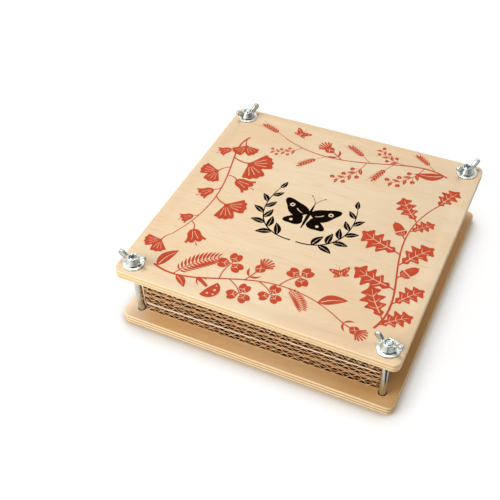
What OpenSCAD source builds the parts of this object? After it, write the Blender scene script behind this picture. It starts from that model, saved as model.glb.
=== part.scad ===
// Flower press: two plywood boards on four corner bolts squeeze a pile of
// corrugated cards with blotting papers between them, drawn down by wing nuts.
// Millimetres, +Z up. The origin is the centre of the bottom board's underside,
// the front edge faces -Y. The pile lies loose, so each sheet sits a little askew.

/* [Boards] */
// Side of the square boards
board_w = 200; // [170:1:240]
// Thickness of each plywood board
board_t = 6.9; // [6:0.1:12]
// Radius of the boards' corners
board_corner_r = 5; // [2:0.5:10]
// Chamfer sanded along the boards' edges
board_edge = 0.4; // [0.2:0.1:1]
// Distance of the bolts' centres from the boards' edges
bolt_inset = 10.5; // [10.5:0.5:14]
// Clearance round a bolt in the boards' holes
hole_clear = 0.5; // [0.3:0.05:0.8]

/* [Bolts] */
// Diameter of the bolts' shanks
bolt_d = 4.9; // [3.9:0.1:5.9]
// Diameter of the low domed heads
head_d = 11.6; // [9:0.1:13]
// Height of the heads
head_h = 2.7; // [2.2:0.1:3.4]
// Height of the straight rim under each head's dome
head_rim_h = 0.5; // [0.3:0.1:0.8]
// How far the heads stay inside the bottom board's underside
head_sink = 0.5; // [0.2:0.1:1.2]
// Clearance round a head in its recess
head_clear = 0.7; // [0.4:0.1:1]
// Width of the cross recess's slots
cross_w = 1.3; // [0.8:0.1:2]
// Length of the cross recess's slots
cross_l = 5.4; // [4:0.1:6.5]
// Depth of the cross recess
cross_deep = 1.5; // [1:0.1:1.8]
// How far a bolt's end stays below the top of its nut
bolt_end_drop = 0.1; // [0:0.1:1]
// Chamfer at a bolt's end
bolt_end_chamfer = 0.6; // [0.3:0.1:0.8]

/* [Washers] */
// Outer diameter of the large washers
washer_d = 15; // [12:0.1:18]
// Thickness of the washers
washer_t = 1.2; // [0.8:0.1:2]
// Clearance round a bolt in its washer
washer_clear = 0.2; // [0.1:0.05:0.4]
// Chamfer round a washer's outer edges
washer_edge = 0.25; // [0.1:0.05:0.35]

/* [Wing nuts] */
// Diameter of a nut's foot
nut_foot_d = 10.4; // [9:0.1:12]
// Height of the straight part of the foot
nut_foot_h = 1.1; // [0.8:0.1:2]
// Diameter at the top of the tapered collar
nut_top_d = 7.4; // [6.8:0.1:8.5]
// Height of the collar
nut_collar_h = 5.2; // [4:0.1:7]
// Chamfer round the foot and the collar's top
nut_chamfer = 0.35; // [0.2:0.05:0.5]
// Lead-in chamfer of the thread hole
nut_lead = 0.4; // [0.2:0.05:0.6]
// Running clearance between the thread hole and the bolt
thread_clear = 0.05; // [0.02:0.01:0.1]
// Distance between the wings' outer ends
wing_span = 20.8; // [18:0.1:24]
// Height of the wings' tips above the washer
wing_top = 8.7; // [8:0.1:11]
// Width of a wing at its rounded tip
wing_w = 4.4; // [3.6:0.1:5]
// Thickness of a wing
wing_t = 2.2; // [1.8:0.1:2.8]
// How far a wing's root bites into the collar
wing_bite = 0.6; // [0.4:0.1:0.8]
// Rim left round the hollow in a wing's side
wing_rim = 0.75; // [0.5:0.05:1]
// Depth of the hollow in each side of a wing
wing_hollow = 0.45; // [0.2:0.05:0.7]
// Turn of each nut: front left, front right, back right, back left
nut_turns = [0, -16, 53, 57]; // [-180:1:180]

/* [Corrugated cards] */
// Number of cards in the pile
card_count = 9; // [5:1:12]
// Thickness of a card
card_t = 3.7; // [3:0.1:5]
// How far the cards' edges lie inside the boards' edges
card_margin = 11; // [10:0.5:20]
// Clearance between a bolt and the cards' cut corners
card_bolt_gap = 1.2; // [1:0.1:5]
// Thickness of the flat liners
liner_t = 0.4; // [0.3:0.05:0.6]
// Thickness of the fluted paper between the liners
flute_paper_t = 0.35; // [0.2:0.05:0.45]
// Distance from one flute to the next
flute_pitch = 7.8; // [6:0.1:9]
// Width of the glue line where a flute meets its liner
glue_w = 1; // [0.6:0.1:1.4]

/* [Blotting papers] */
// Thickness of a blotting paper
blotter_t = 0.3; // [0.2:0.05:0.6]
// How far the papers' edges lie inside the cards' edges
blotter_set_in = 0.2; // [0:0.1:5]

/* [Loose pile] */
// Largest turn of a sheet about the press's centre, in degrees
pile_turn = 1; // [0:0.1:1.2]
// Largest slip of a sheet from the press's centre
pile_slip = 0.6; // [0:0.1:0.8]
// Air left between each sheet and the next
sheet_gap = 0.005; // [0.005:0.005:0.1]

/* [Hidden] */
// Corners in the order of nut_turns: unit signs of X and Y, and their names
corner_signs = [[-1, -1], [1, -1], [1, 1], [-1, 1]];
corner_names = ["front_left", "front_right", "back_right", "back_left"];
corner_last = len(corner_names) - 1;

// Shares of pile_turn for each card, then for the papers over it (lower, upper)
card_turn_shares = [0.6, 0.5, 0.8, 1, 0.7, 0.1, 0.2, 0, 0.1];
lower_turn_shares = [0.5, 1.15, 0.9, 0.2, 0.6, 0.2, 0.3, -0.2];
upper_turn_shares = [0.7, 0.9, 0.7, 0.4, 0.3, -0.1, 0.1, 0.2];
// Shares of pile_slip for the same sheets, as [x, y]
card_slip_shares = [[0.3, 0.4], [-0.6, -0.5], [0.8, 0.2], [-0.2, -0.7], [0.5, 0],
                    [-0.9, -0.6], [0.1, 0.5], [0.7, -0.3], [-0.4, 0.3]];
lower_slip_shares = [[-0.5, 0.2], [0.4, -1], [0.2, 0.6], [0.9, -0.8],
                     [-0.7, 0.3], [0.1, -0.2], [0.6, 0.5], [-0.3, -0.4]];
upper_slip_shares = [[0.2, -0.3], [-0.8, -0.6], [0.6, 0.1], [-0.4, -0.9],
                     [0.3, 0.5], [-0.6, 0.2], [-0.1, -0.4], [0.5, 0.1]];
// Share of a flute's pitch by which one card's flutes lie beside the next one's
flute_shift_share = 0.382;
// Straight steps in the curve of one flute
flute_steps = 10;
// Overrun that all cuts share
over = 1;

bolt_at = board_w / 2 - bolt_inset;
hole_r = bolt_d / 2 + hole_clear;
head_seat_z = head_h + head_sink;

card_w = board_w - 2 * card_margin;
blotter_w = card_w - 2 * blotter_set_in;
corner_cut_at = sqrt(2) * bolt_at - bolt_d / 2 - card_bolt_gap;
layer_t = card_t + 2 * blotter_t + 3 * sheet_gap;
pile_h = card_count * layer_t - 2 * blotter_t - sheet_gap;

top_board_z = board_t + pile_h;
washer_z = top_board_z + board_t;
nut_z = washer_z + washer_t;
bolt_end_z = nut_z + nut_collar_h - bolt_end_drop;

wave_h = (card_t - 2 * liner_t - flute_paper_t) / 2;
cell_w = flute_pitch - glue_w;
cell_reach = ceil(card_w / 2 / flute_pitch) + 1;

nut_bore_r = bolt_d / 2 + thread_clear;
lobe_r = wing_w / 2;
lobe_at = [wing_span / 2 - lobe_r, wing_top - lobe_r];
wing_low = [nut_foot_d / 2 - wing_bite, wing_bite];
wing_high = [nut_top_d / 2, nut_collar_h - wing_bite];
wing_root_x = (nut_bore_r + nut_top_d / 2) / 2;

// An entry of a table that starts again when the pile has more sheets than it
function share_of(table, k) = table[(k - 1) % len(table)];

// Height of the underside of card k
function card_z(k) = board_t + sheet_gap + (k - 1) * layer_t;

// Height of the lower and of the upper paper over card k
function lower_z(k) = card_z(k) + card_t + sheet_gap;
function upper_z(k) = lower_z(k) + blotter_t + sheet_gap;

// Middle of the fluted paper at x from a crest, and half its upright thickness there
function flute_y(x) = wave_h * cos(360 * x / flute_pitch);
function flute_slope(x) = 2 * PI * wave_h / flute_pitch * sin(360 * x / flute_pitch);
function flute_half(x) = flute_paper_t / 2 * sqrt(1 + flute_slope(x) ^ 2);

// Direction from the lobe's centre to where a line from p touches it, below or above
function touch_dir(p, side) =
    let (v = lobe_at - p, a = atan2(v.y, v.x) - side * asin(lobe_r / norm(v)))
    side * [sin(a), -cos(a)];

// Half of a board's section, out to the distance half, with its edges chamfered
function board_side(half) = [
    [0, 0],
    [half - board_edge, 0],
    [half, board_edge],
    [half, board_t - board_edge],
    [half - board_edge, board_t],
    [0, board_t]
];

// Blank of a board: a square slab with round corners and chamfered edges
module board_blank() {
    straight = board_w - 2 * board_corner_r;
    for (a = [0:90:270])
        rotate([90, 0, a])
            translate([0, 0, -straight / 2])
                linear_extrude(straight)
                    polygon(board_side(board_w / 2));
    for (s = corner_signs)
        translate(s * straight / 2)
            rotate_extrude($fn = 48)
                polygon(board_side(board_corner_r));
}

module at_corner(i) {
    translate([corner_signs[i].x * bolt_at, corner_signs[i].y * bolt_at, 0])
        children();
}

module bolt_holes(z) {
    for (i = [0:corner_last])
        at_corner(i)
            translate([0, 0, z - over])
                cylinder(r = hole_r, h = board_t + 2 * over, $fn = 48);
}

// Bottom board: the bolts' heads lie in round recesses in its underside
module bottom_board() {
    color("burlywood")
        difference() {
            board_blank();
            bolt_holes(0);
            for (i = [0:corner_last])
                at_corner(i)
                    translate([0, 0, -over])
                        cylinder(d = head_d + 2 * head_clear, h = head_seat_z + over, $fn = 64);
        }
}

module top_board() {
    color("wheat")
        difference() {
            translate([0, 0, top_board_z])
                board_blank();
            bolt_holes(top_board_z);
        }
}

// Bolt: domed head with a cross recess below, plain shank, chamfered end
module bolt(i) {
    dome_h = head_h - head_rim_h;
    dome_r = ((head_d / 2) ^ 2 + dome_h ^ 2) / (2 * dome_h);
    color("silver")
        at_corner(i)
            difference() {
                rotate_extrude($fn = 64) {
                    intersection() {
                        translate([0, head_sink + dome_r])
                            circle(r = dome_r, $fn = 96);
                        translate([0, head_sink])
                            square([head_d / 2, head_h]);
                    }
                    polygon([
                        [0, head_seat_z - head_rim_h],
                        [bolt_d / 2, head_seat_z - head_rim_h],
                        [bolt_d / 2, bolt_end_z - bolt_end_chamfer],
                        [bolt_d / 2 - bolt_end_chamfer, bolt_end_z],
                        [0, bolt_end_z]
                    ]);
                }
                for (a = [0, 90])
                    rotate([0, 0, a])
                        translate([-cross_l / 2, -cross_w / 2, head_sink - over])
                            cube([cross_l, cross_w, cross_deep + over]);
            }
}

module washer(i) {
    hole = bolt_d / 2 + washer_clear;
    rim = washer_d / 2;
    color("gainsboro")
        at_corner(i)
            translate([0, 0, washer_z])
                rotate_extrude($fn = 64)
                    polygon([
                        [hole, 0],
                        [rim - washer_edge, 0],
                        [rim, washer_edge],
                        [rim, washer_t - washer_edge],
                        [rim - washer_edge, washer_t],
                        [hole, washer_t]
                    ]);
}

// Side of a wing, drawn in by inset from its rounded outline
module wing_side(inset) {
    low_dir = touch_dir(wing_low, 1);
    high_dir = touch_dir(wing_high, -1);
    r = lobe_r - inset;
    translate(lobe_at)
        circle(r = r, $fn = 48);
    polygon([
        [wing_root_x, wing_low.y],
        wing_low - inset * low_dir,
        lobe_at + r * low_dir,
        lobe_at,
        lobe_at + r * high_dir,
        wing_high - inset * high_dir,
        [wing_root_x, wing_high.y]
    ]);
}

// One wing: an upright plate with a shallow hollow in each side
module wing() {
    rotate([90, 0, 0])
        difference() {
            translate([0, 0, -wing_t / 2])
                linear_extrude(wing_t)
                    wing_side(0);
            for (z = [-wing_t / 2 - over, wing_t / 2 - wing_hollow])
                translate([0, 0, z])
                    linear_extrude(wing_hollow + over)
                        wing_side(wing_rim);
        }
}

// Wing nut: tapered collar with a thread hole and two wings that lean outwards
module wing_nut(i) {
    foot_r = nut_foot_d / 2;
    top_r = nut_top_d / 2;
    color("lightgray")
        at_corner(i)
            translate([0, 0, nut_z])
                rotate([0, 0, nut_turns[i]]) {
                    rotate_extrude($fn = 64)
                        polygon([
                            [nut_bore_r + nut_lead, 0],
                            [foot_r - nut_chamfer, 0],
                            [foot_r, nut_chamfer],
                            [foot_r, nut_foot_h],
                            [top_r, nut_collar_h - nut_chamfer],
                            [top_r - nut_chamfer, nut_collar_h],
                            [nut_bore_r + nut_lead, nut_collar_h],
                            [nut_bore_r, nut_collar_h - nut_lead],
                            [nut_bore_r, nut_lead]
                        ]);
                    for (a = [0, 180])
                        rotate([0, 0, a])
                            wing();
                }
}

// Plan of a card or paper: a square with its corners cut off beside the bolts
module sheet_plan(w) {
    intersection() {
        square(w, center = true);
        rotate([0, 0, 45])
            square(2 * corner_cut_at, center = true);
    }
}

// Lies a sheet askew in the pile by its own shares
module in_pile(z, turn_share, slip_share) {
    translate([slip_share.x * pile_slip, slip_share.y * pile_slip, z])
        rotate([0, 0, turn_share * pile_turn])
            children();
}

// Open cell under one crest of the fluted paper, with its floor on the lower liner
module flute_cell() {
    polygon(concat(
        [[-cell_w / 2, liner_t]],
        [for (i = [0:flute_steps])
            let (x = cell_w * (i / flute_steps - 1 / 2))
            [x, card_t / 2 + flute_y(x) - flute_half(x)]],
        [[cell_w / 2, liner_t]]
    ));
}

// End view of a card: two liners with the fluted paper between them
module card_section(shift) {
    difference() {
        translate([-card_w / 2 - over, 0])
            square([card_w + 2 * over, card_t]);
        for (i = [-cell_reach:cell_reach]) {
            translate([i * flute_pitch + shift, 0])
                flute_cell();
            translate([(i + 1 / 2) * flute_pitch + shift, card_t])
                mirror([0, 1])
                    flute_cell();
        }
    }
}

// Corrugated card: its flutes run from front to back and show at both edges
module card(k) {
    color("peru")
        in_pile(card_z(k), share_of(card_turn_shares, k), share_of(card_slip_shares, k))
            intersection() {
                translate([0, card_w / 2 + over, 0])
                    rotate([90, 0, 0])
                        linear_extrude(card_w + 2 * over)
                            card_section(flute_pitch * (k * flute_shift_share % 1));
                translate([0, 0, -over])
                    linear_extrude(card_t + 2 * over)
                        sheet_plan(card_w);
            }
}

// The two papers over card k: flowers lie between the lower and the upper one
module blotter_lower(k) {
    color("ivory")
        in_pile(lower_z(k), share_of(lower_turn_shares, k), share_of(lower_slip_shares, k))
            linear_extrude(blotter_t)
                sheet_plan(blotter_w);
}

module blotter_upper(k) {
    color("ivory")
        in_pile(upper_z(k), share_of(upper_turn_shares, k), share_of(upper_slip_shares, k))
            linear_extrude(blotter_t)
                sheet_plan(blotter_w);
}

bottom_board();
top_board();
for (i = [0:corner_last]) {
    bolt(i);
    washer(i);
    wing_nut(i);
}
for (k = [1:card_count]) {
    card(k);
}
for (k = [1:card_count - 1]) {
    blotter_lower(k);
    blotter_upper(k);
}
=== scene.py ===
import random
from cmath import phase, rect
from functools import partialmethod
from math import asin, atan2, cos, degrees, exp, pi, radians, sin, sqrt

import bmesh
import bpy
import numpy as np
from mathutils import Matrix, Vector
from mathutils.geometry import delaunay_2d_cdt


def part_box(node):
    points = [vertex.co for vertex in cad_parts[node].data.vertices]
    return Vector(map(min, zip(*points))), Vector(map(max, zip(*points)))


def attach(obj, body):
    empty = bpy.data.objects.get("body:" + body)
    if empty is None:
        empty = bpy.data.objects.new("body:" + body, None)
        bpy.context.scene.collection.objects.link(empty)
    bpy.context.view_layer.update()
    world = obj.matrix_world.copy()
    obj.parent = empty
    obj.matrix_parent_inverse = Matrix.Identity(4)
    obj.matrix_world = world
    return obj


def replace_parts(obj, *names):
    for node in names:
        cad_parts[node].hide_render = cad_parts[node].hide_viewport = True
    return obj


# Flower press: two birch boards on four bolts, over a pile of corrugated cards and papers.
# Metres, +Z up, and the front edge faces -Y. Sizes come from the frame, or from the
# dictionary beside the piece that uses them.

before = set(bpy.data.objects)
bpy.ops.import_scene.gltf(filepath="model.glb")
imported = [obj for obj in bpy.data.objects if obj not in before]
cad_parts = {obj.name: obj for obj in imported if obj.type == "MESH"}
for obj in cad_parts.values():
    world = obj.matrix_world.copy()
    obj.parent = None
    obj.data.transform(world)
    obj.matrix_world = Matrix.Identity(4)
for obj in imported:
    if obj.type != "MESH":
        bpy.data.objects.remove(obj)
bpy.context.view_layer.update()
mm = 0.001
corners = ["front_left", "front_right", "back_right", "back_left"]
quarters = [(1, 1), (-1, 1), (-1, -1), (1, -1)]  # signs of X and Y, anticlockwise
print("frame loaded,", len(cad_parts), "nodes")


# Shader maths: a Wire wraps a socket, and an expression on wires adds its nodes

class Wire:
    def __init__(self, tree, socket=None):
        self.tree = tree
        self.socket = socket

    def node(self, kind, settings=None, inputs=None, output=0):
        made = self.tree.nodes.new("ShaderNode" + kind)
        for name, value in (settings or {}).items():
            setattr(made, name, value)
        for name, value in (inputs or {}).items():
            if isinstance(value, Wire):
                self.tree.links.new(value.socket, made.inputs[name])
            else:
                made.inputs[name].default_value = value
        return Wire(self.tree, made.outputs[output])

    def maths(self, operation, other=0.0, swapped=False):
        first, second = (other, self) if swapped else (self, other)
        return self.node("Math", {"operation": operation}, {0: first, 1: second})

    __add__ = partialmethod(maths, "ADD")
    __radd__ = partialmethod(maths, "ADD", swapped=True)
    __sub__ = partialmethod(maths, "SUBTRACT")
    __rsub__ = partialmethod(maths, "SUBTRACT", swapped=True)
    __mul__ = partialmethod(maths, "MULTIPLY")
    __rmul__ = partialmethod(maths, "MULTIPLY", swapped=True)
    __truediv__ = partialmethod(maths, "DIVIDE")
    fraction = partialmethod(maths, "FRACT")
    magnitude = partialmethod(maths, "ABSOLUTE")

    def between(self, low, high):  # 0 below low, 1 above high, smooth in between
        return self.node("MapRange", {"interpolation_type": "SMOOTHSTEP"},
                         {0: self, 1: low, 2: high, 3: 0.0, 4: 1.0})

    def part(self, axis):  # a vector's X, Y or Z, by the number of its axis
        return self.node("SeparateXYZ", None, {0: self}, axis)

    def towards(self, way):  # how far a unit vector points that way
        return self.node("VectorMath", {"operation": "DOT_PRODUCT"}, {0: self, 1: way}, 1)


def newFinish(name):  # with where a point lies on the object at rest, in metres, and its shader
    made = bpy.data.materials.new(name)
    made.use_nodes = True
    shader = next(n for n in made.node_tree.nodes if n.type == "BSDF_PRINCIPLED")
    return made, Wire(made.node_tree).node("TexCoord", output=3), shader


def connect(shader, **sockets):  # an underscore stands for the space in a socket's name
    for name, value in sockets.items():
        target = shader.inputs[name.replace("_", " ")]
        if isinstance(value, Wire):
            value.tree.links.new(value.socket, target)
        else:
            target.default_value = value


def blend(share, first, second):  # of two colours, the first one at share 0
    ends = [c if isinstance(c, Wire) else (*c, 1.0) for c in (first, second)]
    return share.node("Mix", {"data_type": "RGBA"}, {0: share, 6: ends[0], 7: ends[1]}, 2)


def layered(look, first, *layers):  # a look's colours, each over the ones before it by its share
    colour = look[first]
    for share, name in layers:
        colour = blend(share, colour, look[name])
    return colour


def stretched(point, scale, shift=(0.0, 0.0, 0.0)):
    return point.node("Mapping", None, {"Vector": point, "Scale": scale, "Location": shift})


def noise(point, scale, detail=3.0, roughness=0.5, distortion=0.0):
    return point.node("TexNoise", None, {"Vector": point, "Scale": scale, "Detail": detail,
                                         "Roughness": roughness, "Distortion": distortion})


def bump(height, strength, distance):
    return height.node("Bump", None, {"Strength": strength, "Distance": distance, "Height": height})


# Mesh helpers

def newObject(name, data):
    made = bpy.data.objects.new(name, data)
    bpy.context.scene.collection.objects.link(made)
    return made


def meshFrom(bm, name):
    bmesh.ops.recalc_face_normals(bm, faces=bm.faces)
    mesh = bpy.data.meshes.new(name)
    bm.to_mesh(mesh)
    bm.free()
    return mesh


def keep(bm, name, body, finish, sharp=50.0):  # edges turning by more degrees stay sharp
    for face in bm.faces:
        face.smooth = True
    mesh = meshFrom(bm, name)
    mesh.set_sharp_from_angle(angle=radians(sharp))
    piece = newObject(name, mesh)
    piece.data.materials.append(finish)
    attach(piece, body)
    return piece


def bridge(bm, lower, upper):
    made = []
    for i in range(len(lower)):
        j = (i + 1) % len(lower)
        made.append(bm.faces.new((lower[i], lower[j], upper[j], upper[i])))
    return made


def ringAt(bm, centre, radius, z, count):
    made = []
    for i in range(count):
        angle = 2 * pi * i / count
        spot = (centre.x + radius * cos(angle), centre.y + radius * sin(angle), z)
        made.append(bm.verts.new(spot))
    return made


def fan(bm, tip, ring):
    for i in range(len(ring)):
        bm.faces.new((tip, ring[i], ring[(i + 1) % len(ring)]))


def skin(bm, rings):  # faces from each ring to the next one
    for first, second in zip(rings, rings[1:]):
        bridge(bm, first, second)


def arc(centre, radius, start, stop, steps):  # (radius, z) points round an edge, in degrees
    made = []
    for i in range(steps + 1):
        angle = radians(start + (stop - start) * i / steps)
        made.append((centre[0] + radius * cos(angle), centre[1] + radius * sin(angle)))
    return made


def middle(node):
    low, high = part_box(node)
    return (low + high) / 2


# Boards: five plies of birch, the same blank twice

board = {
    "cornerRadius": 5.0 * mm,
    "arris": 0.45 * mm,  # radius of the sanded edges
    "arrisSteps": 4,
    "holeArris": 0.25 * mm,
    "holeRadius": 2.95 * mm,
    "recessRadius": 6.5 * mm,
    "recessDepth": 3.2 * mm,
    "grooveDepth": 0.05 * mm,  # of the glue lines along the edges
    "grooveHeight": 0.12 * mm,
    "plies": 5,
    "cornerSteps": 14,
    "holeSteps": 40,
    "sharp": 35.0,  # degrees, for keep
}

topLook = {
    "shift": (0.31, 0.12, 0.0),
    "pale": (0.850, 0.705, 0.510),
    "cream": (0.815, 0.650, 0.455),
    "warm": (0.775, 0.545, 0.325),
    "fleck": (0.640, 0.430, 0.245),
    "edge": (0.920, 0.680, 0.410),
    "edgeCross": (0.720, 0.490, 0.260),  # the plies between, whose grain runs the other way
    "edgeDark": (0.560, 0.350, 0.160),
    "glue": (0.460, 0.270, 0.110),
    "sanded": (1.0, 0.900, 0.680),  # the round edges, paler than the faces: painted highlight, partly sanded wear
    "sandedShare": 0.75,
    "figure": 0.36,
    "drift": 0.32,
    "flecks": 0.40,
    "mottle": 0.12,
    "figureScale": 55.0,  # patches a metre, here and below
    "driftScale": 14.0,
    "fleckScale": 900.0,
    "mottleScale": 120.0,
    "cloudScale": 9.0,
    "endGrainScale": 2600.0,
    "longGrainScale": 3000.0,
    "wobbleScale": 90.0,
    "wobble": 0.12,  # of the glue lines, in plies
}
# the base's blank is painted warmer along its right side, as shade with warm light bounced from the wood,
# darker towards the front, and paler at its left end, as painted light
baseLook = dict(topLook, shift=(0.07, 0.44, 0.0), pale=(0.87, 0.620, 0.350),
                cream=(0.82, 0.555, 0.285), warm=(0.74, 0.425, 0.165), figure=0.55, mottle=0.30,
                rightShadeTone=(0.99, 0.600, 0.275), rightShadeFront=(0.66, 0.375, 0.135), rightShadeShare=0.85,
                leftLitTone=(0.94, 0.780, 0.610), leftLitShare=0.70, shadeEndShare=0.65,
                edge=(0.990, 0.755, 0.475), edgeCross=(0.520, 0.330, 0.155))


# painted light and shade on the base: warm bounce light in the shaded right strip, darker towards the
# front and left out near the ends, and light at the left end
def paintedSideShadeAndLight(spot, veneer, look):
    along = spot.part(0)
    across = spot.part(1)
    toEnds = across.magnitude().between(0.074, 0.096)
    right = along.between(0.045, 0.098) * (1 - toEnds * look["shadeEndShare"])
    rightShadeTone = blend(across.between(-0.09, 0.07), look["rightShadeFront"], look["rightShadeTone"])
    veneer = blend(right * look["rightShadeShare"], veneer, rightShadeTone)
    return blend((0 - along).between(0.072, 0.098) * look["leftLitShare"], veneer, look["leftLitTone"])


def birchFinish(name, look):
    made, spot, shader = newFinish(name)
    face = stretched(spot, (1, 1, 1), look["shift"])
    # rotary-cut veneer: wide figure along X, slow drifts of tone, short dark flecks
    figure = noise(stretched(face, (0.16, 1, 0.3)), look["figureScale"], 4.0, 0.55, 0.6)
    figure = figure.between(0.36, 0.64)
    drift = noise(stretched(face, (0.35, 1, 1)), look["driftScale"], 2.0).between(0.45, 0.62)
    flecks = noise(stretched(face, (0.06, 1, 1)), look["fleckScale"], 2.0, 0.6).between(0.55, 0.72)
    mottle = noise(stretched(face, (0.5, 1, 1)), look["mottleScale"], 4.0, 0.65, 0.8)
    clouds = noise(face, look["cloudScale"]).between(0.35, 0.65)
    veneer = layered(look, "pale", (clouds, "cream"), (figure * look["figure"], "warm"),
                     (drift * look["drift"], "warm"), (flecks * look["flecks"], "fleck"),
                     (mottle.between(0.50, 0.70) * look["mottle"], "warm"))
    # painted side light and shade, on the base only
    if "rightShadeTone" in look:
        veneer = paintedSideShadeAndLight(spot, veneer, look)
    # edges: every other ply shows its end grain, with a dark glue line between plies
    wobble = noise(stretched(spot, (1, 1, 0.2)), look["wobbleScale"], 2.0) - 0.5
    share = (spot.part(2) - look["low"]) / (look["high"] - look["low"])
    level = share * board["plies"] + wobble * look["wobble"]
    cross = (level * 0.5).fraction().between(0.48, 0.52)
    normal = spot.node("NewGeometry", output=1)
    ends = normal.part(0).magnitude().between(0.55, 0.85)
    cross = cross * (1 - ends) + ends * (1 - cross)
    joint = (level.fraction() - 0.5).magnitude().between(0.40, 0.48)
    endGrain = noise(spot, look["endGrainScale"], 2.0).between(0.42, 0.62)
    longGrain = noise(stretched(spot, (0.08, 0.08, 1)), look["longGrainScale"]).between(0.40, 0.62)
    edge = layered(look, "edge", (cross, "edgeCross"), (endGrain * cross * 0.45, "edgeDark"),
                   (longGrain * (1 - cross) * 0.28, "edgeDark"), (joint * 0.55, "glue"))
    tilt = normal.part(2).magnitude()
    onFace = tilt.between(0.55, 0.85)
    # painted highlight on the round edges, between face and side, partly sanded wear
    sanded = tilt.between(0.10, 0.40) * (1 - tilt.between(0.88, 0.99))
    colour = blend(sanded * look["sandedShare"], blend(onFace, edge, veneer), look["sanded"])
    relief = (figure * 0.25 - flecks * 0.5) * onFace - (endGrain * 0.6 + joint) * (1 - onFace)
    connect(shader, Base_Color=colour, Specular_IOR_Level=0.35,
            Roughness=0.46 + figure * 0.06 + flecks * 0.1, Normal=bump(relief, 0.35, 0.06 * mm))
    return made


def roundedSquare(half, radius, steps):
    made = []
    for quarter, (sx, sy) in enumerate(quarters):
        for i in range(steps + 1):
            angle = pi / 2 * (quarter + i / steps)
            made.append(((half - radius) * sx + radius * cos(angle),
                         (half - radius) * sy + radius * sin(angle)))
    return made


def wallRows(low, high, arris, grooves=()):  # (z, inset) up a wall with round edges and grooves
    turns = [pi / 2 * i / board["arrisSteps"] for i in range(board["arrisSteps"] + 1)]
    rows = [(low + arris * (1 - sin(a)), arris * (1 - cos(a))) for a in reversed(turns)]
    for z in grooves:
        rows += [(z - board["grooveHeight"], 0.0), (z, board["grooveDepth"])]
        rows += [(z + board["grooveHeight"], 0.0)]
    rows += [(high - arris * (1 - sin(a)), arris * (1 - cos(a))) for a in turns]
    return rows


def fillLoops(bm, loops):
    edges = []
    for loop in loops:
        for i, vert in enumerate(loop):
            edge = bm.edges.get((vert, loop[(i + 1) % len(loop)]))
            edge.smooth = False
            edges.append(edge)
    bmesh.ops.triangle_fill(bm, use_beauty=True, use_dissolve=False, edges=edges)


def boreRings(bm, centre, radius, rows):
    rings = [ringAt(bm, centre, radius + inset, z, board["holeSteps"]) for z, inset in rows]
    skin(bm, rings)
    return rings


def boardPiece(node, body, look, recessed):
    low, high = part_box(node)
    half = (high.x - low.x) / 2
    thick = high.z - low.z
    bm = bmesh.new()
    grooves = [low.z + thick * i / board["plies"] for i in range(1, board["plies"])]
    walls = []
    for z, inset in wallRows(low.z, high.z, board["arris"], grooves):
        plan = roundedSquare(half - inset, board["cornerRadius"] - inset, board["cornerSteps"])
        walls.append([bm.verts.new((x, y, z)) for x, y in plan])
    skin(bm, walls)
    lowerLoops, upperLoops = [walls[0]], [walls[-1]]
    for corner in corners:
        centre = middle("bolt_" + corner)
        rows = wallRows(low.z, high.z, board["holeArris"])
        if recessed:  # a wide blind hole below, and the bore goes on from its floor
            seat = [(low.z + board["recessDepth"], 0.0)]
            mouth = board["arrisSteps"] + 1
            wide = boreRings(bm, centre, board["recessRadius"], rows[:mouth] + seat)
            narrow = boreRings(bm, centre, board["holeRadius"], seat + rows[mouth:])
            bridge(bm, wide[-1], narrow[0])
            rings = wide + narrow
        else:
            rings = boreRings(bm, centre, board["holeRadius"], rows)
        lowerLoops.append(rings[0])
        upperLoops.append(rings[-1])
    fillLoops(bm, lowerLoops)
    fillLoops(bm, upperLoops)
    finish = birchFinish("birch_" + node, dict(look, low=low.z, high=high.z))
    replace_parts(keep(bm, node + "_veneered", body, finish, board["sharp"]), node)


boardPiece("bottom_board", "base", baseLook, True)
boardPiece("top_board", "top_board", topLook, False)
print("boards made")


# Zinc-plated steel: bolts with rolled threads, large washers, cast wing nuts

boltSizes = {
    "rimHeight": 0.5 * mm,
    "rimRadius": 0.15 * mm,
    "headHeight": 2.7 * mm,
    "filletRadius": 0.3 * mm,
    "shankRadius": 2.45 * mm,
    "threadLength": 22.0 * mm,
    "pitch": 0.8 * mm,
    "threadDepth": 0.47 * mm,
    "chamfer": 0.6 * mm,
    "dimpleDepth": 0.9 * mm,  # rolled ends are hollow; inside two of them the colour is painted near black, as shade in the hollow
    "dimpleRadius": 1.65 * mm,
    "dimpleBend": (0.7, 0.5),  # share of its radius and of its depth where its wall turns in
    "crossLength": 5.2 * mm,
    "crossWidth": 1.15 * mm,
    "crossDepth": 1.9 * mm,
    "crossTaper": 0.45,  # share of the cross's size left at its floor
    "crossTurn": 20.0,  # degrees, and each bolt stands a different way round
    "crossStep": 70.0,
    "around": 32,
    "rowsPerTurn": 8,
}
# its last entries paint shade into crevices, darkest where a point sees little open room
boltLook = {"bright": (0.64, 0.67, 0.64), "blue": (0.52, 0.57, 0.56), "dull": (0.40, 0.41, 0.37),
            "rough": 0.16, "hazeScale": 260.0, "grimeScale": 900.0, "castScale": 1500.0,
            "brush": (1, 1, 0.03), "brushScale": 3000.0, "brushShare": 0.6, "relief": 0.05,
            "creviceShadeColour": (0.10, 0.11, 0.09), "creviceShadeShare": 0.5, "creviceShadeReach": 1.6 * mm}
washerLook = dict(boltLook, bright=(0.84, 0.86, 0.85), blue=(0.58, 0.63, 0.63), dull=(0.46, 0.47, 0.43),
                  rough=0.26, brush=(1, 1, 1), castScale=900.0)
nutLook = dict(boltLook, bright=(0.64, 0.69, 0.67), blue=(0.48, 0.54, 0.54), dull=(0.32, 0.34, 0.31),
               rough=0.20, brushShare=0.0, castScale=1400.0, relief=0.25, creviceShadeShare=0.85)
# near black: painted shade inside the hollow ends of two bolts
shadedEndLook = dict(boltLook, bright=(0.10, 0.10, 0.09), blue=(0.07, 0.07, 0.07), dull=(0.04, 0.03, 0.03),
               rough=0.55)
platedEndLook = dict(boltLook, bright=(0.66, 0.70, 0.72), dull=(0.20, 0.20, 0.19), rough=0.30, relief=0.6)


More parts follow.
